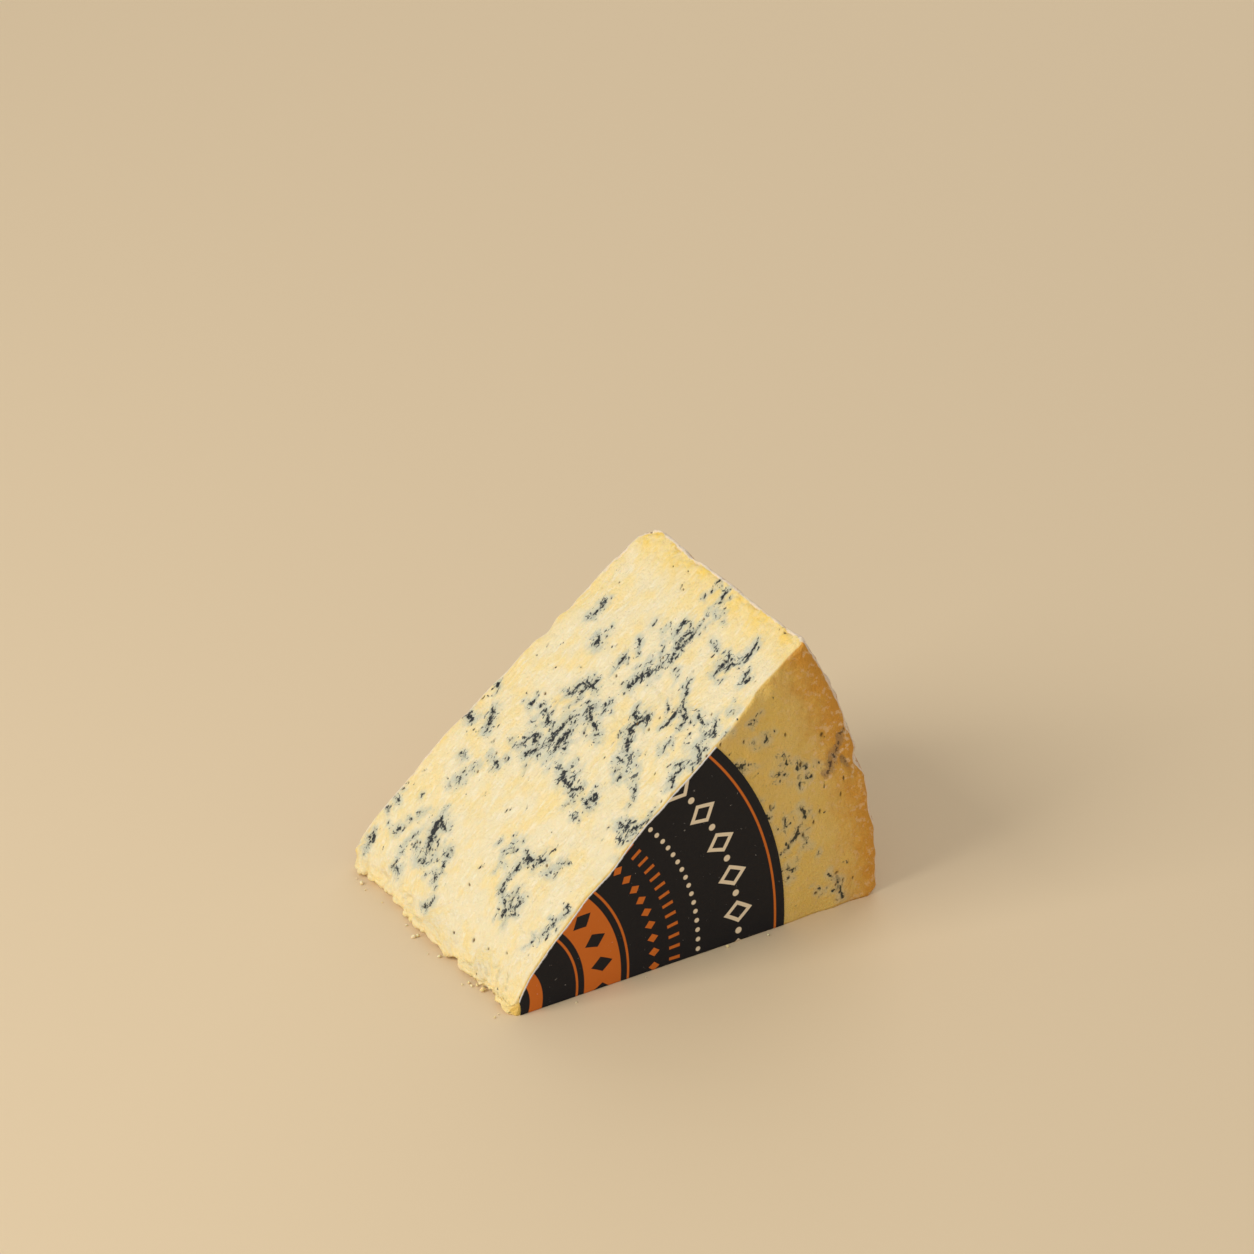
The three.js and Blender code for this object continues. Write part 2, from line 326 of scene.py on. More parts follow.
def bump_move(p, u, v, w):
    """How far each surface's own bumps carry a point."""
    size_u, size_v, size_w = across_from(u)
    to_tip, to_rind, to_upper = u * size_u, (1 - u) * size_u, (1 - v) * size_v
    to_label, to_back = w * size_w, (1 - w) * size_w
    rough = (1 + CRUMBLY_GAIN * fade(to_tip, CRUMBLY_REACH)) * step(p[:, 2] / CRUMBLY_FOOT)
    lumps = LUMPS_LABEL_END + (LUMPS_BACK_END - LUMPS_LABEL_END) * w
    outward = p * (1, 0, 1)
    outward = outward / np.linalg.norm(outward, axis=1, keepdims=True)
    calm_rind = 1 - RIM_CALM * fade(np.minimum(to_label, to_upper), CALM_REACH)
    calm_back = 1 - RIM_CALM * fade(to_upper, CALM_REACH)
    by_rind = calm_rind * layered(RIND_BUMPS, p, RIND_STRETCH) * fade(to_rind, BUMP_FADE)
    move = outward * by_rind[:, None]
    move[:, 1] -= layered(FLAT_BUMPS, p) * fade(to_label, BUMP_FADE) * step(past_label(p) / QUIET_ZONE)
    move[:, 1] += calm_back * layered(BACK_BUMPS, p) * fade(to_back, BUMP_FADE)
    lift = layered(CUT_BUMPS, p) * rough * fade(to_upper, BUMP_FADE)
    move += UPPER_NORMAL * lift[:, None]
    move[:, 0] += layered(TIP_BUMPS, p) * lumps * fade(to_tip, BUMP_FADE) * step(to_label / BUMP_FADE)
    return move


def surface(u, v, w):
    """Points of the wedge's surface, which is its solid's but a little calmer beside the rims."""
    p = base_place(u, v, w)
    move = bump_move(p, u, v, w)
    inward = CORE - p
    inward /= np.linalg.norm(inward, axis=1, keepdims=True)
    for chip_u, chip_v, chip_w, reach, depth in CHIPS:
        chip = base_place(*(np.array([float(a)]) for a in (chip_u, chip_v, chip_w)))
        near = fade(np.linalg.norm(p - chip, axis=1), reach)
        move += inward * (depth * near)[:, None]
    p = p + move
    p[:, 0] -= RIM_TABLE * fade(p[:, 2], RIM_TABLE) * step(2 * u - 1)
    p[:, 2] = np.where(v == 0, 0, np.maximum(p[:, 2], 0))
    return p


def graded(count):
    """Shares from 0 to 1 that are closer together at both ends."""
    t = np.arange(count + 1) / count
    return t - CROWDING * np.sin(2 * np.pi * t) / (2 * np.pi)


def skipped_rows(grid, last):
    """The inner rows of the flat underside that its wider faces leave out."""
    i, j, k = grid[..., 0], grid[..., 1], grid[..., 2]
    inner = (j == 0) & (i > 0) & (i < last[0]) & (k > 0) & (k < last[2])
    return inner & ((i % 2 == 1) | (k % 2 == 1))


def wide_faces(number):
    """Faces two rows wide over a sheet of vertices, which still meet every vertex of its rim."""
    last = np.array(number.shape) - 1
    ring = [(0, 0), (1, 0), (2, 0), (2, 1), (2, 2), (1, 2), (0, 2), (0, 1)]
    faces = []
    for i in range(0, last[0], 2):
        for k in range(0, last[1], 2):
            face = [number[i + a, k + b] for a, b in ring]
            faces.append([int(corner) for corner in face if corner >= 0])
    return faces


def quads(number):
    """Four-sided faces over a sheet of numbered vertices."""
    corners = [number[:-1, :-1], number[1:, :-1], number[1:, 1:], number[:-1, 1:]]
    return np.stack(corners, -1).reshape(-1, 4)


def block_mesh(us, vs, ws):
    """The shares u, v, w of every vertex of the closed block, its four-sided faces and its underside's."""
    shape = (len(us), len(vs), len(ws))
    grid = np.stack(np.meshgrid(*(np.arange(n) for n in shape), indexing="ij"), -1)
    last = np.array(shape) - 1
    kept = ((grid == 0) | (grid == last)).any(-1) & ~skipped_rows(grid, last)
    number = np.full(shape, -1)
    number[kept] = np.arange(kept.sum())
    i, j, k = grid[kept].T
    sides = (number[:, -1, :], number[:, :, 0], number[:, :, -1].T, number[-1].T, number[0])
    faces = np.concatenate([quads(side) for side in sides])
    return us[i], vs[j], ws[k], faces, wide_faces(number[:, 0, :].T)


def vertex_normals(p, faces):
    """Outward normals at the vertices of a mesh of four-sided faces."""
    a, b, c, d = (p[faces[:, n]] for n in range(4))
    face_normal = np.cross(c - a, d - b)
    normal = np.zeros_like(p)
    for n in range(4):
        np.add.at(normal, faces[:, n], face_normal)
    return normal / np.maximum(np.linalg.norm(normal, axis=1, keepdims=True), 1e-12)


# Veins

VEIN_SEED = 7
VEIN_WOBBLE, WOBBLE_SHIFTS = [(3.4, 0.8), (1.3, 0.45)], (0, 31.7, 67.3)
BRANCHES_PER_MM, BRANCH_LENGTH, BRANCH_THICKNESS, BRANCH_TURN = 0.3, (1.2, 4), 0.7, 0.6
SATELLITES_PER_MM, SATELLITE_SPREAD = 0.8, 2
SATELLITE_LENGTH, SATELLITE_THICKNESS, SATELLITE_TURN = (0.2, 1.8), (0.45, 0.8), 0.45
STRAY_LENGTH, STRAY_THICKNESS, STRAY_TURN = (0.2, 2), (0.4, 0.7), 0.5
STRAY_CLUSTER, STRAY_SHIFT, STRAY_CROWD = 15, 60, (-0.5, 0.6)
STRAYS_ON_CUT, STRAYS_ON_SIDE = 150, 80
THREAD_SPREAD, HALO_SPREAD, SMALL_HALO, MOULD_SPREAD, CRUST_SPREAD = 0.85, 2.4, 0.75, 1, 3.2
SPREAD_LIMIT, TIP_CLEAR = 2.5, 3
CUT_LENGTH = 126


def cut_point(along, across):
    """A place on the upper cut."""
    x, z = section(max(along, 0) / CUT_LENGTH, 1)
    return np.array([x, across, z])


def foot_point(along, across):
    """A place on the lower cut, whose veins are those of the upper one the other way round."""
    return np.array([along * DRUM_RADIUS / CUT_LENGTH, THICKNESS - across, 0])


def side_point(along, height):
    """A place on the label's side."""
    return np.array([along, 0, height])


def segments(veins):
    """The straight stretches of the veins, as (thickness, start, end)."""
    for thickness, *points in veins:
        for start, end in zip(points, points[1:]):
            yield thickness, np.array(start, float), np.array(end, float)


def strokes(veins, to_point):
    """The veins' straight stretches on a face, as (start, end, thickness)."""
    return [(to_point(*start), to_point(*end), thickness) for thickness, start, end in segments(veins)]


def heading(turn):
    """The direction of a turn, as a step of length one."""
    return np.array([math.cos(turn), math.sin(turn)])


def branched(veins, to_point, rng):
    """Straight pieces of the veins and of their small branches, as (start, end, thickness)."""
    pieces = strokes(veins, to_point)
    for thickness, start, end in segments(veins):
        length = np.linalg.norm(end - start)
        for _ in range(rng.poisson(length * BRANCHES_PER_MM * thickness)):
            root = start + (end - start) * rng.random()
            turn = rng.normal(0, BRANCH_TURN) + math.pi * rng.integers(2)
            leaf = root + rng.uniform(*BRANCH_LENGTH) * thickness * heading(turn)
            pieces.append((to_point(*root), to_point(*leaf), thickness * BRANCH_THICKNESS))
    return pieces


def short_mark(middle, turns, lengths, thicknesses, rng):
    """A short straight mark about a middle, given like a vein."""
    turn = rng.normal(0, turns)
    half = rng.uniform(*lengths) / 2 * heading(turn)
    return rng.uniform(*thicknesses), tuple(middle - half), tuple(middle + half)


def satellites(veins, rng):
    """Short marks scattered beside the veins, mostly along the cheese's own grain."""
    marks = []
    for thickness, start, end in segments(veins):
        length = np.linalg.norm(end - start) + 1
        for _ in range(rng.poisson(length * SATELLITES_PER_MM * thickness)):
            middle = start + (end - start) * rng.random() + rng.normal(0, SATELLITE_SPREAD, 2)
            marks.append(short_mark(middle, SATELLITE_TURN, SATELLITE_LENGTH, SATELLITE_THICKNESS, rng))
    return marks


def stray_marks(count, width, height, rng):
    """Short marks away from the veins, in loose clusters."""
    marks = []
    while len(marks) < count:
        middle = np.array([rng.uniform(0, width), rng.uniform(0, height)])
        crowd = noise(np.array([[*middle, 0]]) / STRAY_CLUSTER + STRAY_SHIFT)[0]
        if crowd >= rng.uniform(*STRAY_CROWD):
            marks.append(short_mark(middle, STRAY_TURN, STRAY_LENGTH, STRAY_THICKNESS, rng))
    return marks


def nearness(p, pieces, spread):
    """From 0 to 1, how near each point is to the nearest of the pieces, for its thickness times spread."""
    wobble = np.stack([layered(VEIN_WOBBLE, p + shift) for shift in WOBBLE_SHIFTS], -1)
    q = p + wobble
    best = np.zeros(len(p))
    for start, end, thickness in pieces:
        reach = SPREAD_LIMIT * thickness * spread + np.linalg.norm(end - start)
        near = np.flatnonzero(np.abs(q - start).max(axis=1) < reach)
        if not len(near):
            continue
        line = end - start
        share = np.clip((q[near] - start) @ line / max(line @ line, 1e-9), 0, 1)
        distance = np.linalg.norm(q[near] - start - share[:, None] * line, axis=1)
        best[near] = np.maximum(best[near], np.exp(-((distance / (thickness * spread)) ** 2)))
    return best


# The tip by the label

NOSE_ACROSS, NOSE_ALONG, NOSE_HEIGHT, NOSE_REACH = 10, 6, 4.5, 2.6
FACET_FOOT, FACET_LEAN = 1.7, 0.3


def shape_nose(p):
    """Brings the tip's foot forward beside the label and cuts its corner off."""
    x, y, z = p.T
    near = fade(y, NOSE_ACROSS, 0.2) * fade(x, NOSE_ALONG) * fade(z, NOSE_HEIGHT, 0.3)
    p[:, 0] -= NOSE_REACH * near * (1 - np.clip(z / NOSE_HEIGHT, 0, 1))
    cut = np.maximum(FACET_FOOT + FACET_LEAN * z - x - y, 0) / 2
    p[:, 0] += cut
    p[:, 1] += cut
    return p


# Fine relief

# Layers of grain: the size, the height and the shift of each
KNIFE_STREAKS = [((7, 1.1, 3), 0.12, 0), ((4, 0.8, 2), 0.1, 40)]
CURDS = [(2.8, 0.2, 0), (1.4, 0.12, 0)]
TIP_CRUMBS = [((2.6, 3.4, 2.6), 1.7, 9), (1.8, 1.1, 3)]
EDGE_FLAKES = [(2.3, 1.1, 33), (1.3, 0.6, 3)]
FLAT_FACE = [(3, 0.09, 0), (1.2, 0.07, 0)]
FLAT_RIM = [(3.4, 0.35, 2), (1.5, 0.18, 0)]
RIND_SCALES = [(3.8, 0.2, 4), (2, 0.15, 0)]
BACK_CREASES = [((9, 4, 7), 0.5, 6), ((3.4, 3, 2.6), 0.35, 12)]
BACK_SCALES = [(3.8, 0.2, 4), (1.5, 0.18, 0)]
WRINKLE_BEND, RIM_SMOOTHING = 0.02, 0.6

# Pits: how many on each face, then the size, reach and depth of them
PIT_SEED = 21
PITS = {"on_cut": 34, "on_side": 44, "on_rind": 12, "on_back": 12}
PIT_RADIUS, PIT_VARIATION, PIT_REACH, PIT_DEPTH, PIT_LOWEST = 0.3, 0.3, 1.4, 0.6, 2

# How far the faces' edges, the torn tip and the golden zones reach
FACE_BLEND, RIM_BLOOM, BACK_PALER = 0.9, 4, 6
TORN_EDGE, TORN_REACH = 0.3, 5
NOTCH_REACH, FLAKE_REACH, FLAT_RIM_START, FLAT_RIM_WIDTH = 1.6, 6, 2, 13


def dots(p, centres, radii):
    """From 0 to 1, how deep inside a round spot each point is."""
    field = np.zeros(len(p))
    for centre, radius in zip(centres, radii):
        near = np.flatnonzero(np.abs(p - centre).max(axis=1) < radius * PIT_REACH)
        distance = np.linalg.norm(p[near] - centre, axis=1)
        field[near] = np.maximum(field[near], step(PIT_REACH - distance / radius))
    return field


def turned(p):
    """Coordinates that run outward from the tip, along the axis and round it."""
    outward = np.hypot(p[:, 0], p[:, 2])
    around = np.arctan2(p[:, 2], np.maximum(p[:, 0], 0.1)) * TURN_RADIUS
    return np.stack([outward, p[:, 1], around], -1)


def cut_relief(p, t, fields):
    """Knife streaks, curds and torn hollows, rougher towards the tip and broken along the rind."""
    relief = grain(KNIFE_STREAKS, t) + grain(CURDS, p) - 0.2 * fields["vein"]
    relief -= 0.55 * step(ridged(t / (9, 3.2, 5) + 11) * 9 - 8) * step(noise(p / 11 + 5) * 2)
    relief += fields["torn"] * (grain(TIP_CRUMBS, p, folded) - 0.7)
    relief += fade(fields["to_gold"], FLAKE_REACH) * (grain(EDGE_FLAKES, p, folded) - 0.5)
    return relief - 0.9 * fade(fields["to_rind"], NOTCH_REACH, 0.3) * step(noise(p / 3.1 + 15) * 4 - 0.8)


def side_relief(p, t, fields):
    """The drum's flat face: nearly smooth, then lumpy and cracked towards its rim."""
    rim = fade(DRUM_RADIUS - FLAT_RIM_START - t[:, 0], FLAT_RIM_WIDTH)
    broken = fields["mould"] * (0.9 * noise(p / 1.9 + 8) - 0.4)
    return grain(FLAT_FACE, p) - 0.12 * fields["vein"] + rim * grain(FLAT_RIM, p) + broken


def rind_relief(p, t):
    """Wrinkles along the axis, with scaly lumps."""
    wrinkles = [((40, 11, 3.4), 0.7, WRINKLE_BEND * p), ((40, 7, 2.2), 0.5, 17)]
    return grain(wrinkles, t, ridged) - 0.8 + grain(RIND_SCALES, p)


def back_relief(p):
    """Shallow creases in every direction, with scaly lumps."""
    return grain(BACK_CREASES, p, ridged) - 0.6 + grain(BACK_SCALES, p)


def fine_relief(p, fields):
    """How far the fine texture lifts each point, in millimetres."""
    t = turned(p)
    cut, side, rind, back = (fields[name] for name in ("on_cut", "on_side", "on_rind", "on_back"))
    lift = back_relief(p) * back
    lift += rind * (rind_relief(p, t) - lift)
    lift += side * (side_relief(p, t, fields) - lift)
    lift += cut * (cut_relief(p, t, fields) - lift)
    lift *= 1 - RIM_SMOOTHING * fields["by_rim"] * np.maximum(rind, back)
    return lift - PIT_DEPTH * fields["pit"]


def face_fields(p, u, v, w):
    """Where each face and zone is, from 0 to 1 at the vertices, and two distances to the rind."""
    size_u, size_v, size_w = across_from(u)
    to_rind, to_upper, to_label, to_back = (1 - u) * size_u, (1 - v) * size_v, w * size_w, (1 - w) * size_w
    to_cut = np.minimum(np.minimum(to_upper, v * size_v), u * size_u)
    torn = fade(turned(p)[:, 0], TORN_REACH, TORN_EDGE)
    between_crumbs = step(1.2 - grain(TIP_CRUMBS, p, folded) * 1.6)
    return {
        "torn": torn,
        # Where painted light lifts the shade: the hollows between the tip's crumbs and the nose by the
        # label
        "hollow_painted_light": torn * np.maximum(between_crumbs, fade(p[:, 1], NOSE_ACROSS, 0.4)),
        "by_rim": fade(np.minimum(to_upper, to_label), RIM_BLOOM),
        "on_cut": fade(to_cut, FACE_BLEND),
        "on_side": fade(to_label, FACE_BLEND),
        "on_back": fade(to_back, FACE_BLEND),
        "on_rind": fade(to_rind, FACE_BLEND),
        "to_rind": np.minimum(to_rind, to_back),
        "to_gold": np.minimum(to_rind, to_back + BACK_PALER),
    }


def add_veins(p, fields):
    """Adds the fields of the veins and their halo, and of the brown mould."""
    rng = np.random.default_rng(VEIN_SEED)
    pieces = branched(CUT_VEINS, cut_point, rng) + branched(SIDE_VEINS, side_point, rng)
    pieces += branched(CUT_VEINS, foot_point, rng)
    small = branched(satellites(CUT_VEINS, rng), cut_point, rng)
    small += branched(satellites(SIDE_VEINS, rng), side_point, rng)
    halo = np.maximum(nearness(p, pieces, HALO_SPREAD), SMALL_HALO * nearness(p, small, HALO_SPREAD))
    fields["halo"] = halo * step(p[:, 0] / TIP_CLEAR)
    cut_marks = stray_marks(STRAYS_ON_CUT, CUT_LENGTH, THICKNESS, rng)
    side_marks = stray_marks(STRAYS_ON_SIDE, DRUM_RADIUS, CUT_LENGTH * math.sin(CUT_ANGLE), rng)
    strays = branched(cut_marks, cut_point, rng) + branched(side_marks, side_point, rng)
    fields["vein"] = nearness(p, pieces + small + strays, THREAD_SPREAD)
    streaks = strokes(MOULD_STREAKS, side_point)
    fields["mould"] = nearness(p, streaks, MOULD_SPREAD)
    fields["crust"] = nearness(p, streaks, CRUST_SPREAD)


def add_pits(p, fields):
    """Adds the field of small pits, scattered over every face."""
    rng = np.random.default_rng(PIT_SEED)
    centres, radii = [], []
    for name, count in PITS.items():
        candidates = np.flatnonzero((fields[name] > 0.9) & (p[:, 2] > PIT_LOWEST))
        centres.extend(p[rng.choice(candidates, count, replace=False)])
        radii.extend(PIT_RADIUS + PIT_VARIATION * rng.random(count) ** 2.5)
    fields["pit"] = dots(p, centres, radii)


def add_object(name, data):
    made = bpy.data.objects.new(name, data)
    bpy.context.scene.collection.objects.link(made)
    return made


def mesh_object(name, points, faces, material, fields=None):
    """A smooth mesh object in the part's frame, with its fields as vertex attributes."""
    mesh = bpy.data.meshes.new(name)
    mesh.from_pydata(place(points), [], faces)
    mesh.polygons.foreach_set("use_smooth", np.ones(len(mesh.polygons), bool))
    for key, values in (fields or {}).items():
        mesh.attributes.new(key, "FLOAT", "POINT").data.foreach_set("value", values.astype(np.float32))
    mesh.materials.append(material)
    mesh.update()
    return add_object(name, mesh)


# Materials

class Shader:
    """A material's nodes, written as calls that take and return sockets."""

    def __init__(self, name):
        self.material = bpy.data.materials.new(name)
        self.material.use_nodes = True
        self.tree = self.material.node_tree
        self.principled = self.tree.nodes["Principled BSDF"]

    def fill(self, node, inputs):
        """Links or sets a node's inputs."""
        for key, value in inputs.items():
            if isinstance(value, bpy.types.NodeSocket):
                self.tree.links.new(value, node.inputs[key])
            else:
                node.inputs[key].default_value = value
        return node

    def node(self, kind, inputs, **settings):
        made = self.tree.nodes.new(kind)
        for key, value in settings.items():
            setattr(made, key, value)
        return self.fill(made, inputs)

    def math(self, operation, a, b=0.0, c=0.0):
        return self.node("ShaderNodeMath", {0: a, 1: b, 2: c}, operation=operation).outputs[0]

    def vector_math(self, operation, a, b, c=(0.0, 0.0, 0.0)):
        return self.node("ShaderNodeVectorMath", {0: a, 1: b, 2: c}, operation=operation).outputs[0]

    def times(self, a, b):
        return self.math("MULTIPLY", a, b)

    def times_add(self, a, b, c):
        """a times b, plus c."""
        return self.math("MULTIPLY_ADD", a, b, c)

    def vary(self, value, pattern, amount):
        """The value moved up and down by a pattern that is a half on average."""
        return self.times_add(self.math("SUBTRACT", pattern, 0.5), amount, value)

    def field(self, name):
        return self.node("ShaderNodeAttribute", {}, attribute_name=name).outputs["Fac"]

    def position(self):
        """The place in the wedge's own frame, in millimetres."""
        metres = self.node("ShaderNodeTexCoord", {}).outputs["Object"]
        return self.vector_math("MULTIPLY_ADD", metres, (1 / MM,) * 3, tuple(ORIGIN))

    def polar(self, vector):
        """Distance from the axis, turn about it and place along it."""
        x, y, z = self.node("ShaderNodeSeparateXYZ", {0: vector}).outputs
        outward = self.math("SQRT", self.times_add(x, x, self.times(z, z)))
        return outward, self.math("ARCTAN2", z, x), y

    def turned(self):
        """The place as millimetres outward from the tip, along the axis and round it."""
        outward, turn, along = self.polar(self.position())
        inputs = {0: outward, 1: along, 2: self.times(turn, TURN_RADIUS)}
        return self.node("ShaderNodeCombineXYZ", inputs).outputs[0]

    def warped(self, vector, size, amount):
        """The vector moved by noise of the given size, by up to about half the amount."""
        inputs = {"Vector": self.stretched(vector, (size,) * 3, 50.0), "Scale": 1.0, "Detail": 2.0}
        moves = self.node("ShaderNodeTexNoise", inputs).outputs["Color"]
        around = self.vector_math("SUBTRACT", moves, (0.5,) * 3)
        return self.vector_math("MULTIPLY_ADD", around, (amount,) * 3, vector)

    def cracks(self, vector):
        """Distance to the nearest edge between uneven cells about one unit wide."""
        inputs = {"Vector": vector, "Scale": 1.0}
        return self.node("ShaderNodeTexVoronoi", inputs, feature="DISTANCE_TO_EDGE").outputs["Distance"]

    def stretched(self, vector, sizes, shift=0.0):
        """The place measured in units of the given sizes along each axis."""
        return self.vector_math("MULTIPLY_ADD", vector, tuple(1 / size for size in sizes), (shift,) * 3)

    def grain(self, vector, sizes, detail, roughness, shift=0.0):
        """Noise with features of the given sizes. The shift sets it apart from other noise."""
        where = self.stretched(vector, sizes, shift)
        inputs = {"Vector": where, "Scale": 1.0, "Detail": detail, "Roughness": roughness}
        return self.node("ShaderNodeTexNoise", inputs).outputs["Fac"]

    def ramp(self, value, low, high):
        """0 below low and 1 above high, smoothly; the other way round where low is the greater."""
        inputs = {"Value": value, "From Min": low, "From Max": high}
        return self.node("ShaderNodeMapRange", inputs, interpolation_type="SMOOTHSTEP").outputs[0]

    def mix(self, share, a, b):
        """The first colour, with the share of the second mixed in."""
        return self.node("ShaderNodeMix", {0: share, 6: a, 7: b}, data_type="RGBA").outputs[2]

    def bump(self, height, distance):
        inputs = {"Height": height, "Distance": distance * MM}
        self.set(Normal=self.node("ShaderNodeBump", inputs).outputs[0])

    def set(self, **values):
        """Sets the surface's own values, whose names have _ for a space."""
        self.fill(self.principled, {key.replace("_", " "): value for key, value in values.items()})


PASTE = rgb(242, 228, 186)
PASTE_WARM = rgb(246, 223, 158)
PASTE_PALE = rgb(250, 242, 216)
GOLD = rgb(248, 213, 108)
# Light gold for the torn tip: partly its own tone, partly painted light for its shaded hollows and nose
TIP_GOLD_AND_PAINTED_LIGHT = rgb(254, 226, 150)
SIDE_GOLD = rgb(231, 191, 84)
AMBER = rgb(213, 144, 38)
SIDE_BLOOM = rgb(240, 206, 160)
BLUE_GREY = rgb(196, 201, 184)
VEIN_DARK = rgb(12, 20, 30)
VEIN_SOFT = rgb(38, 52, 60)
VEIN_DULL = rgb(66, 68, 50)
RIM_WHITE = rgb(246, 228, 206)
RIND_TAN = rgb(234, 182, 114)
RIND_BROWN = rgb(208, 148, 80)
BLOOM = rgb(252, 236, 218)
# Painted shade for the rind's pits
PIT_SHADE_DARK = rgb(96, 62, 38)
MOULD_GREY = rgb(166, 134, 92)
MOULD_BROWN = rgb(74, 56, 42)
# Painted shade for the small pits in the cheese
PIT_SHADE_BROWN = rgb(116, 88, 38)
FAT_GLOW = (1.0, 0.6, 0.3)


def cheese_colours(s, turned):
    """The colour of the cheese under its veins: pale inside, golden near the rind and in the torn tip. In
    the tip, a light gold is partly the cheese's own tone and partly painted light that lifts the shade in
    the hollows between crumbs and on the nose by the label.
    """
    blotch = s.grain(turned, (11, 8, 9), 3.0, 0.6)
    streak = s.grain(turned, (3.4, 1.2, 2.2), 3.0, 0.6, 3.0)
    colour = s.mix(s.ramp(blotch, 0.4, 0.66), PASTE, PASTE_WARM)
    smooth_part = s.times_add(s.field("torn"), -0.6, 0.6)
    colour = s.mix(s.times(s.ramp(streak, 0.48, 0.72), smooth_part), colour, PASTE_PALE)
    uneven = s.times_add(blotch, 10.0, s.field("to_gold"))
    patches = s.ramp(s.grain(turned, (5, 5, 5), 3.0, 0.6, 6.0), 0.42, 0.62)
    golden = s.times(s.ramp(uneven, 18.0, 6.0), s.times_add(patches, 0.5, 0.48))
    # Painted light: a light gold over the hollows between the tip's crumbs and over the shaded nose, partly
    # the cheese's own golden tone and partly brightening that stands in for light
    tip = s.times_add(s.field("hollow_painted_light"), 0.6, s.times(s.field("torn"), 0.25))
    colour = s.mix(golden, colour, GOLD)
    return s.mix(tip, colour, TIP_GOLD_AND_PAINTED_LIGHT)


def rim_colour(s, turned, colour):
    """The broken edge of the rind, a thin whitish line round the cheese."""
    ragged = s.grain(turned, (2.2, 2.2, 2.2), 3.0, 0.6, 3.0)
    distance = s.times_add(ragged, 1.8, s.field("to_rind"))
    return s.mix(s.times(s.ramp(distance, 1.9, 1.3), 0.85), colour, RIM_WHITE)


def side_colours(s, turned, colour):
    """The flat side is more golden, and amber in its outer ring."""
    blotch = s.grain(turned, (6, 6, 6), 4.0, 0.65, 8.0)
    colour = s.mix(s.times(s.field("on_side"), 0.82), colour, SIDE_GOLD)
    mottle = s.grain(turned, (1.9, 1.9, 1.9), 3.0, 0.6, 18.0)
    uneven = s.times_add(blotch, 16.0, s.times_add(mottle, 9.0, s.field("to_rind")))
    amber = s.times(s.ramp(uneven, 30.0, 13.0), s.field("on_side"))
    colour = s.mix(s.times(amber, 0.85), colour, AMBER)
    flecks = s.grain(turned, (2.0, 2.0, 1.4), 3.0, 0.65, 14.0)
    share = s.times_add(s.field("crust"), 0.5, s.times_add(amber, 0.3, 0.2))
    dusted = s.times(s.ramp(flecks, 0.53, 0.64), share)
    return s.mix(s.times(dusted, s.field("on_side")), colour, SIDE_BLOOM)


def on_skin(s):
    """1 on the rind and 0 on the cheese's cut and flat faces."""
    skin = s.math("MAXIMUM", s.field("on_rind"), s.field("on_back"))
    bare = s.math("SUBTRACT", 1.0, s.math("MAXIMUM", s.field("on_cut"), s.field("on_side")))
    return s.ramp(s.times(skin, bare), 0.3, 0.75)


def feathery(s, vector):
    """Thin streaks and wider ones, drawn out along the vector's second axis."""
    where = s.warped(vector, 4.0, 1.4)
    wide = s.grain(where, (1.8, 6.5, 1.8), 3.0, 0.6, 5.0)
    thin = s.grain(where, (0.65, 3.8, 0.65), 3.0, 0.6, 25.0)
    return s.times_add(thin, 0.6, s.times(wide, 0.4))


def bloom_pattern(s, turned):
    """Feathery streaks along the axis on the drum's side, which wander on its flat back."""
    parts = s.node("ShaderNodeSeparateXYZ", {0: s.position()}).outputs
    flat = s.node("ShaderNodeCombineXYZ", {0: parts[0], 1: parts[2], 2: parts[1]}).outputs[0]
    flat = s.warped(flat, 16.0, 12.0)
    on_side = s.math("SUBTRACT", 1.0, s.field("on_back"))
    feathers = s.times(feathery(s, turned), on_side)
    feathers = s.times_add(feathery(s, flat), s.field("on_back"), feathers)
    patch = s.grain(s.position(), (9, 9, 9), 3.0, 0.55, 1.0)
    return feathers, patch


def rind_colours(s, feathers, patch, colour):
    """Tan rind with darker patches under a pale pinkish bloom, which is thickest along its edges."""
    skin = s.mix(s.ramp(patch, 0.42, 0.68), RIND_TAN, RIND_BROWN)
    cover = s.vary(feathers, patch, -0.4)
    cover = s.times_add(s.field("by_rim"), 0.12, cover)
    skin = s.mix(s.times(s.ramp(cover, 0.445, 0.58), 0.9), skin, BLOOM)
    # Painted shade: the rind's pits are darkened, standing for the shade inside them
    skin = s.mix(s.times(s.field("pit"), 0.8), skin, PIT_SHADE_DARK)
    return s.mix(on_skin(s), colour, skin)


def vein_parts(s, turned):
    """The blue mould's beaded threads, and the thinner broken nets round them."""
    fine = s.grain(turned, (1.1, 0.75, 0.95), 1.0, 0.5, 9.0)
    beads = s.vary(s.field("vein"), fine, 1.5)
    threads = s.ramp(beads, 0.68, 0.84)
    net = s.cracks(s.stretched(s.warped(turned, 2.4, 2.6), (2.5, 1.5, 1.9)))
    broken = s.grain(turned, (1.3, 0.9, 1.1), 1.0, 0.5, 70.0)
    spread = s.times_add(net, -4.5, s.field("halo"))
    spread = s.vary(spread, broken, 3.0)
    faint = s.times_add(s.field("on_side"), -0.4, 0.85)
    nets = s.times(s.ramp(spread, 0.72, 0.95), faint)
    return threads, nets


def brown_mould(s, turned, colour):
    """A grey-brown crust mottled with darker spots."""
    patch = s.grain(turned, (1.6, 1.6, 1.6), 3.0, 0.6, 30.0)
    uneven = s.vary(s.field("mould"), patch, 1.6)
    colour = s.mix(s.times(s.ramp(uneven, 0.2, 0.8), 0.7), colour, MOULD_GREY)
    spots = s.grain(turned, (0.9, 0.9, 0.7), 2.0, 0.6, 33.0)
    uneven = s.vary(s.field("mould"), spots, 3.0)
    return s.mix(s.times(s.ramp(uneven, 0.85, 1.2), 0.85), colour, MOULD_BROWN)


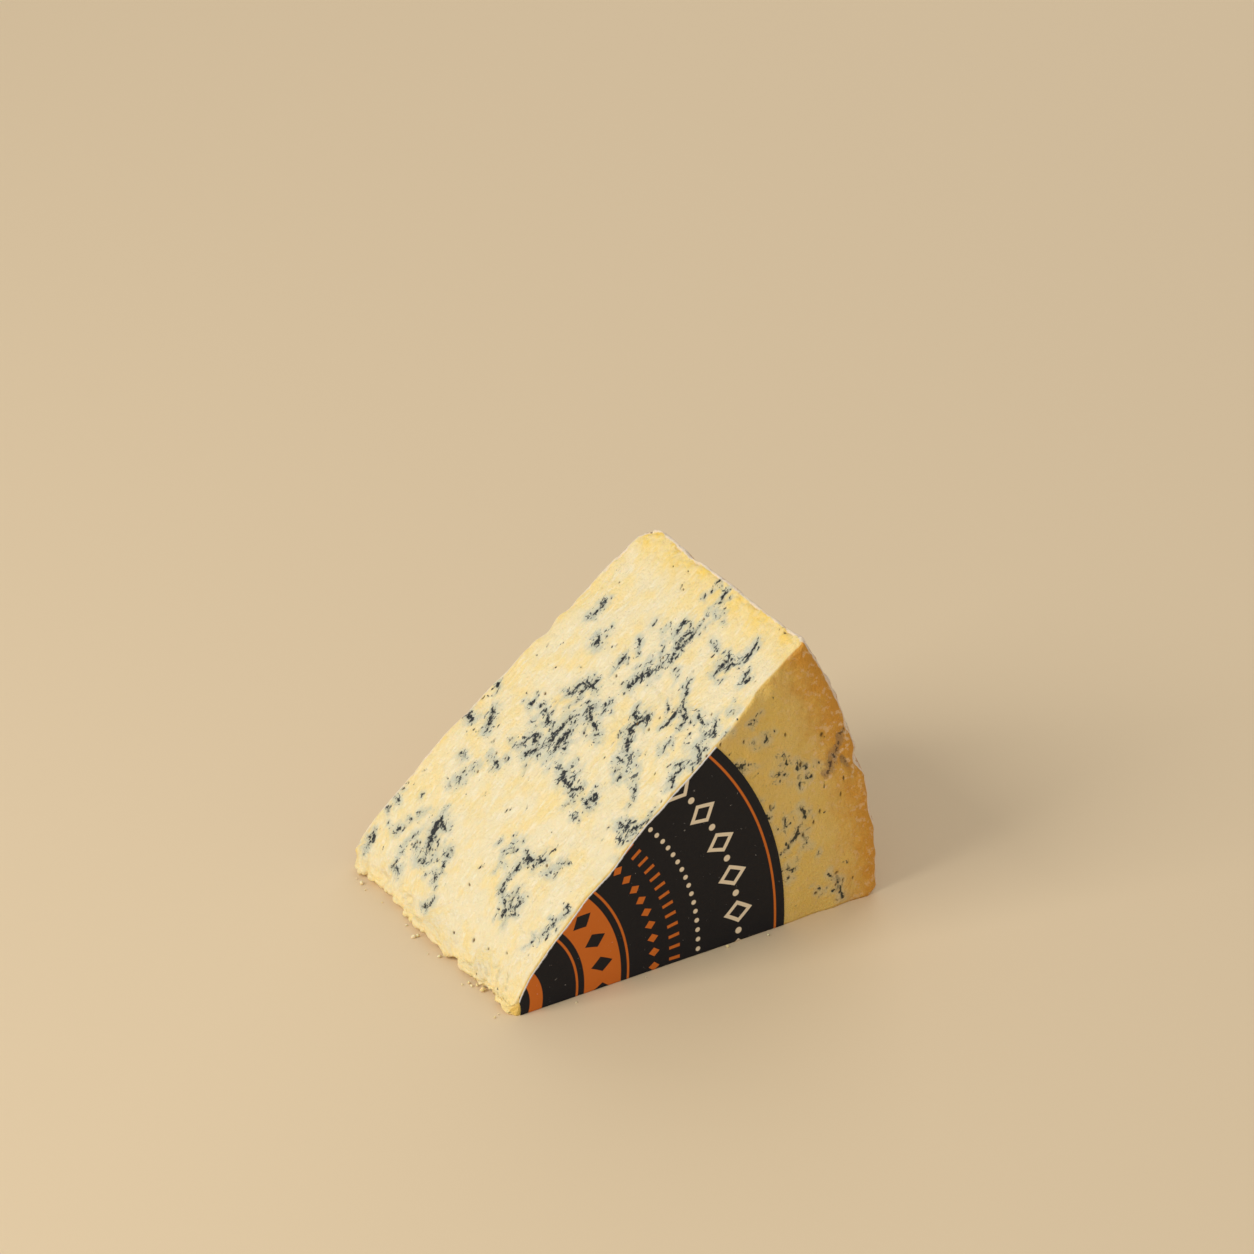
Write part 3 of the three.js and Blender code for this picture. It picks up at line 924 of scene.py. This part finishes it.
def vein_colours(s, threads, nets, turned, colour):
    """Blue-grey cloud round the veins, then their nets and threads, all duller on the drum's dry face."""
    patchy = s.grain(turned, (3.0, 1.6, 2.4), 2.0, 0.5, 20.0)
    clouded = s.vary(s.field("halo"), patchy, 1.0)
    cloudy = s.times_add(s.field("on_side"), -0.4, 0.75)
    colour = s.mix(s.times(s.ramp(clouded, 0.05, 0.95), cloudy), colour, BLUE_GREY)
    dry = s.times(s.field("on_side"), 0.6)
    soft = s.mix(dry, VEIN_SOFT, VEIN_DULL)
    colour = s.mix(s.times(s.ramp(s.field("vein"), 0.25, 1.0), 0.4), colour, soft)
    colour = s.mix(nets, colour, soft)
    return s.mix(s.times(threads, 0.95), colour, s.mix(dry, VEIN_DARK, VEIN_DULL))


def cheese_roughness(s, turned):
    """Unevenly moist where it is cut, and dry on its flat face and rind."""
    shine = s.grain(turned, (1.6, 0.6, 1.2), 2.0, 0.5)
    moist = s.times_add(shine, 0.4, 0.25)
    dry = s.math("MAXIMUM", on_skin(s), s.times(s.field("on_side"), 0.5))
    return s.times_add(dry, 0.35, moist)


def cheese_height(s, turned, threads, feathers):
    """Small grains, drawn-out streaks away from the torn tip, sunken veins and the rind's scales."""
    streaks = s.grain(turned, (2.0, 0.6, 1.0), 2.0, 0.5, 12.0)
    grains = s.grain(s.position(), (1.0, 0.9, 1.0), 3.0, 0.6, 2.0)
    drawn_out = s.times(streaks, s.times_add(s.field("torn"), -0.7, 0.7))
    height = s.times_add(grains, 1.3, drawn_out)
    height = s.times_add(threads, -0.3, height)
    scales = s.times(s.math("SUBTRACT", feathers, 0.5), on_skin(s))
    return s.times_add(scales, 6.0, height)


def cheese_material():
    """Moist crumbly cheese with blue veins, and its rind."""
    s = Shader("cheese")
    turned = s.turned()
    threads, nets = vein_parts(s, turned)
    feathers, patch = bloom_pattern(s, turned)
    colour = side_colours(s, turned, cheese_colours(s, turned))
    colour = vein_colours(s, threads, nets, turned, colour)
    colour = brown_mould(s, turned, colour)
    colour = rim_colour(s, turned, colour)
    # Painted shade: the pits are darkened to brown, standing for the shade inside them
    colour = s.mix(s.ramp(s.field("pit"), 0.1, 0.8), colour, PIT_SHADE_BROWN)
    s.set(Base_Color=rind_colours(s, feathers, patch, colour))
    s.set(Roughness=cheese_roughness(s, turned), Specular_IOR_Level=0.35)
    s.set(Subsurface_Weight=0.12, Subsurface_Radius=FAT_GLOW, Subsurface_Scale=1.2 * MM)
    s.bump(cheese_height(s, turned, threads, feathers), 0.4)
    return s.material


LABEL_FIELD = rgb(12, 13, 22)
LABEL_ORANGE = rgb(214, 112, 30)
LABEL_CREAM = rgb(240, 224, 196)
PAPER_EDGE = rgb(226, 222, 216)
PRINT_EDGE = 0.12


class LabelPrint:
    """The printed rings and rows, all centred on the label's own middle."""

    def __init__(self, shader):
        self.s = shader
        centre = (LABEL_CENTRE[0], 0, LABEL_CENTRE[1])
        from_centre = shader.vector_math("SUBTRACT", shader.position(), centre)
        self.radius, self.turn, _ = shader.polar(from_centre)

    def inside(self, distance, limit):
        """1 where the distance is under the limit, with a soft printed edge."""
        return self.s.ramp(distance, limit + PRINT_EDGE, limit - PRINT_EDGE)

    def ring(self, radius, width):
        away = self.s.math("ABSOLUTE", self.s.math("SUBTRACT", self.radius, radius))
        return self.inside(away, width / 2)

    def row(self, radius, pitch, shift=0.0):
        """Distances along and across a row of motifs, from the middle of the nearest one."""
        s = self.s
        count = s.times_add(self.turn, radius / pitch, shift)
        along = s.times(s.math("SUBTRACT", s.math("FRACT", count), 0.5), pitch)
        return s.math("ABSOLUTE", along), s.math("ABSOLUTE", s.math("SUBTRACT", self.radius, radius))

    def lozenges(self, radius, pitch, half_along, half_across):
        along, across = self.row(radius, pitch)
        size = self.s.times_add(along, half_across / half_along, across)
        return self.inside(size, half_across)

    def dots(self, radius, pitch, dot, shift=0.0):
        s = self.s
        along, across = self.row(radius, pitch, shift)
        squares = s.times_add(along, along, s.times(across, across))
        return self.inside(s.math("SQRT", squares), dot)

    def bars(self, radius, pitch, half_along, half_across):
        along, across = self.row(radius, pitch)
        return self.s.times(self.inside(along, half_along), self.inside(across, half_across))


# The print: each ring's radius and width, then each row's radius, pitch and the sizes of its motifs.
# The first dots have a last value that sets them halfway between the lozenges.
BIG_ROW, BIG_PITCH = 76.5, 12.4
ORANGE_RINGS = [(88.4, 0.7), (41.2, 0.7), (33.2, 11.5), (25.2, 0.7), (12.5, 4.0)]
ORANGE_BARS, ORANGE_LOZENGES = (56.0, 3.6, 0.5, 1.7), (49.5, 4.6, 1.4, 1.7)
CREAM_LOZENGES = (BIG_ROW, BIG_PITCH, 3.6, 4.6)
CREAM_DOTS = [(BIG_ROW, BIG_PITCH, 1.0, 0.5), (63.5, 3.1, 0.72)]
DARK_LOZENGES = [(BIG_ROW, BIG_PITCH, 2.2, 2.8), (33.2, 8.4, 2.4, 3.4)]


def label_material():
    """Matt printed paper: a dark field with orange rings and rows of plain motifs."""
    s = Shader("label")
    drawn = LabelPrint(s)
    colour = LABEL_FIELD
    orange = [drawn.ring(*sizes) for sizes in ORANGE_RINGS]
    for shape in [*orange, drawn.bars(*ORANGE_BARS), drawn.lozenges(*ORANGE_LOZENGES)]:
        colour = s.mix(shape, colour, LABEL_ORANGE)
    for shape in [drawn.lozenges(*CREAM_LOZENGES)] + [drawn.dots(*sizes) for sizes in CREAM_DOTS]:
        colour = s.mix(shape, colour, LABEL_CREAM)
    for sizes in DARK_LOZENGES:
        colour = s.mix(drawn.lozenges(*sizes), colour, LABEL_FIELD)
    wear = s.grain(s.position(), (1.4, 1.4, 1.4), 4.0, 0.7)
    torn = s.times_add(wear, 0.9, s.field("to_edge"))
    colour = s.mix(s.ramp(torn, 0.95, 0.55), colour, PAPER_EDGE)
    scuff = s.times(s.ramp(wear, 0.66, 0.76), 0.35)
    colour = s.mix(scuff, colour, PAPER_EDGE)
    s.set(Base_Color=colour, Roughness=s.times_add(wear, 0.2, 0.5), Specular_IOR_Level=0.3)
    s.bump(s.grain(s.position(), (0.5, 0.5, 0.5), 3.0, 0.6), 0.05)
    return s.material


def crumb_material():
    """Crumbs of the pale cheese, some of them warmer."""
    s = Shader("crumbs")
    shade = s.grain(s.position(), (3, 3, 3), 2.0, 0.5)
    s.set(Base_Color=s.mix(s.ramp(shade, 0.45, 0.75), PASTE, PASTE_WARM), Roughness=0.5)
    s.set(Subsurface_Weight=0.3, Subsurface_Radius=FAT_GLOW, Subsurface_Scale=0.6 * MM)
    s.bump(s.grain(s.position(), (0.3, 0.3, 0.3), 2.0, 0.5), 0.1)
    return s.material


def floor_material():
    """A plain pale table top."""
    s = Shader("floor")
    s.set(Base_Color=rgb(228, 206, 170), Roughness=0.7)
    return s.material


# Pieces

FOOT_FADE, UNDERSIDE_FADE, UNDER_LABEL = 1.2, 0.125, 0.5


def make_cheese():
    """The wedge's solid shape with its fine relief, as one closed mesh."""
    us, vs, ws = graded(ROWS_ALONG), graded(ROWS_AROUND), graded(ROWS_ACROSS)
    u, v, w, faces, underside = block_mesh(us, vs, ws)
    p = shape_nose(surface(u, v, w))
    fields = face_fields(p, u, v, w)
    add_veins(p, fields)
    add_pits(p, fields)
    lift = fine_relief(p, fields) * step(p[:, 2] / FOOT_FADE) * step(v / UNDERSIDE_FADE)
    under_label = fade(past_label(p), UNDER_LABEL)
    lift = np.where(w == 0, lift * (1 - under_label), lift)
    p = p + vertex_normals(p, faces) * lift[:, None]
    p[:, 2] = np.maximum(p[:, 2], 0)
    return mesh_object("cheese_wedge", p, faces.tolist() + underside, cheese_material(), fields)


PAPER_STEPS_OUT, PAPER_STEPS_ROUND, EDGE_SAMPLES, EDGE_SHARES = 150, 110, 400, (0.012, 0.8)
PAPER_THICKNESS, PAPER_START, PAPER_FOOT, PAPER_OVERHANG = 0.22, 2.6, 0.15, 0.1
PAPER_LIFT, PAPER_RIPPLE = 0.1, [(9, 0.05), (3.5, 0.03)]


def paper_top(u):
    """x and z of the paper's straight edge, which follows the upper cut's and stands a little past it."""
    edge = surface(u, np.ones_like(u), np.zeros_like(u)) + PAPER_OVERHANG * UPPER_NORMAL
    return edge[:, [0, 2]]


def paper_grid():
    """x and z of the paper's points, in arcs from its foot up, and how far each is from the upper edge."""
    u = np.linspace(*EDGE_SHARES, EDGE_SAMPLES)
    reach = np.hypot(*(paper_top(u) - LABEL_CENTRE).T)
    upper = paper_top(np.linspace(u[0], u[np.searchsorted(reach, LABEL_RADIUS)], PAPER_STEPS_OUT + 1))
    foot_end = LABEL_CENTRE[0] + math.sqrt(LABEL_RADIUS**2 - (PAPER_FOOT - LABEL_CENTRE[1]) ** 2)
    foot_x = np.linspace(PAPER_START, foot_end, PAPER_STEPS_OUT + 1)
    foot = np.stack([foot_x, np.full_like(foot_x, PAPER_FOOT)], -1)
    t = np.linspace(0, 1, PAPER_STEPS_ROUND + 1)
    (x0, z0), (x1, z1) = (foot - LABEL_CENTRE).T, (upper - LABEL_CENTRE).T
    radius = np.outer(np.hypot(x0, z0), 1 - t) + np.outer(np.hypot(x1, z1), t)
    turn = np.outer(np.arctan2(z0, x0), 1 - t) + np.outer(np.arctan2(z1, x1), t)
    to_edge = np.outer(np.hypot(*(upper - foot).T), 1 - t)
    return LABEL_CENTRE[0] + radius * np.cos(turn), LABEL_CENTRE[1] + radius * np.sin(turn), to_edge


def make_label():
    """The paper as a thin closed sheet, rippled a little."""
    x, z, to_edge = paper_grid()
    back = np.stack([x.ravel(), np.zeros(x.size), z.ravel()], -1)
    back[:, 1] = layered(PAPER_RIPPLE, back) - PAPER_LIFT
    front = back - (0, PAPER_THICKNESS, 0)
    number = np.arange(x.size).reshape(x.shape)
    inner = quads(number)
    outline = np.concatenate([number[:, 0], number[-1, 1:], number[-2::-1, -1], number[0, -2:0:-1]])
    following = np.roll(outline, -1)
    sides = np.stack([outline, outline + x.size, following + x.size, following], -1)
    faces = np.concatenate([inner, inner[:, ::-1] + x.size, sides])
    points = np.concatenate([front, back])
    near_edge = np.concatenate([to_edge.ravel()] * 2)
    return mesh_object("paper_label", points, faces.tolist(), label_material(), {"to_edge": near_edge})


CRUMB_SEED, CRUMB_SIZES, CRUMB_STRETCH = 5, (0.2, 0.65), (0.6, 1.3)
CRUMB_ROUGHNESS, CRUMB_LUMPS, CRUMB_VARIETY, CRUMB_SINK = 0.35, 1.4, 50, 0.1

# How many crumbs, and the ranges of x and y that they lie in
CRUMB_ROWS = [
    (14, (-3, 0.5), (2, 84)),
    (3, (-7, 0), (-3, 88)),
    (4, (2, 112), (-3.5, -0.8)),
]


def crumb_sphere():
    """The points and faces of a small round mesh with a radius of one."""
    shape = bmesh.new()
    bmesh.ops.create_icosphere(shape, subdivisions=2, radius=1)
    shape.verts.index_update()
    points = np.array([vertex.co[:] for vertex in shape.verts])
    faces = np.array([[vertex.index for vertex in face.verts] for face in shape.faces])
    shape.free()
    return points, faces


def make_crumbs():
    """Crumbs that lie on the table along the tip and in front of the label, as one mesh."""
    rng = np.random.default_rng(CRUMB_SEED)
    ball, faces = crumb_sphere()
    points, all_faces = [], []
    low, high = CRUMB_SIZES
    for count, across, along in CRUMB_ROWS:
        for _ in range(count):
            size = low + (high - low) * rng.random() ** 2
            shape = ball * rng.uniform(*CRUMB_STRETCH, 3)
            lumps = CRUMB_ROUGHNESS * noise(shape * CRUMB_LUMPS + rng.uniform(0, CRUMB_VARIETY))
            shape = shape * (1 + lumps)[:, None] * size
            height = -shape[:, 2].min() - size * CRUMB_SINK
            middle = np.array([rng.uniform(*across), rng.uniform(*along), height])
            all_faces.append(faces + len(points) * len(ball))
            points.append(shape + middle)
    points = np.concatenate(points)
    points[:, 2] = np.maximum(points[:, 2], 0)
    return mesh_object("crumbs", points, np.concatenate(all_faces).tolist(), crumb_material())


FLOOR_HALF = 3000


def make_floor():
    corners = np.array([[-1, -1, 0], [1, -1, 0], [1, 1, 0], [-1, 1, 0]]) * FLOOR_HALF
    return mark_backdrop(mesh_object("floor", corners, [[0, 1, 2, 3]], floor_material()))


def look_from(obj, position, target):
    """Puts a camera or lamp at a position and turns it to the target, both in metres."""
    obj.location = position
    obj.rotation_euler = (Vector(target) - Vector(position)).to_track_quat("-Z", "Y").to_euler()


def make_camera():
    data = bpy.data.cameras.new("camera")
    data.sensor_width = SENSOR
    data.lens = SENSOR * FOCAL_PIXELS / FRAME_PIXELS
    data.clip_start, data.clip_end = 0.05, 20
    camera = add_object("camera", data)
    a, e = CAMERA_AZIMUTH, CAMERA_ELEVATION
    ahead = np.array([math.sin(a) * math.cos(e), math.cos(a) * math.cos(e), -math.sin(e)])
    look_from(camera, place(CAMERA_TARGET - ahead * CAMERA_DISTANCE), place(CAMERA_TARGET))
    bpy.context.scene.camera = camera


LAMP_AIM = Vector((0, 0, 0.03))


def make_lamp(name, azimuth, elevation, distance, size, power, colour):
    """A soft square lamp aimed at the wedge, its azimuth counted from +X towards +Y."""
    data = bpy.data.lights.new(name, "AREA")
    data.size = size
    data.energy = power
    data.color = colour
    a, e = math.radians(azimuth), math.radians(elevation)
    away = Vector((math.cos(a) * math.cos(e), math.sin(a) * math.cos(e), math.sin(e)))
    look_from(add_object(name, data), LAMP_AIM + away * distance, LAMP_AIM)


def make_lights():
    make_lamp("key", 178, 38, 1.6, 0.8, 14.2, (1, 0.97, 0.93))
    make_lamp("fill", -130, 28, 2.0, 1.6, 3.6, (1, 0.95, 0.88))
    make_lamp("back", 45, 30, 2.0, 1.4, 7, (1, 0.96, 0.9))
    world = bpy.data.worlds.new("world")
    world.use_nodes = True
    background = world.node_tree.nodes["Background"]
    background.inputs["Color"].default_value = (1, 0.97, 0.93, 1)
    background.inputs["Strength"].default_value = 0.45
    bpy.context.scene.world = world
    bpy.context.scene.view_settings.view_transform = "Standard"


def show_piece(piece, node):
    """The piece rides with the part and stands for the solid of that name, which is hidden."""
    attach(piece, "root")
    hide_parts(node)


make_camera()
show_piece(make_cheese(), "cheese")
show_piece(make_label(), "label")
crumbs = make_crumbs()
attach(crumbs, "root")
make_floor()
make_lights()
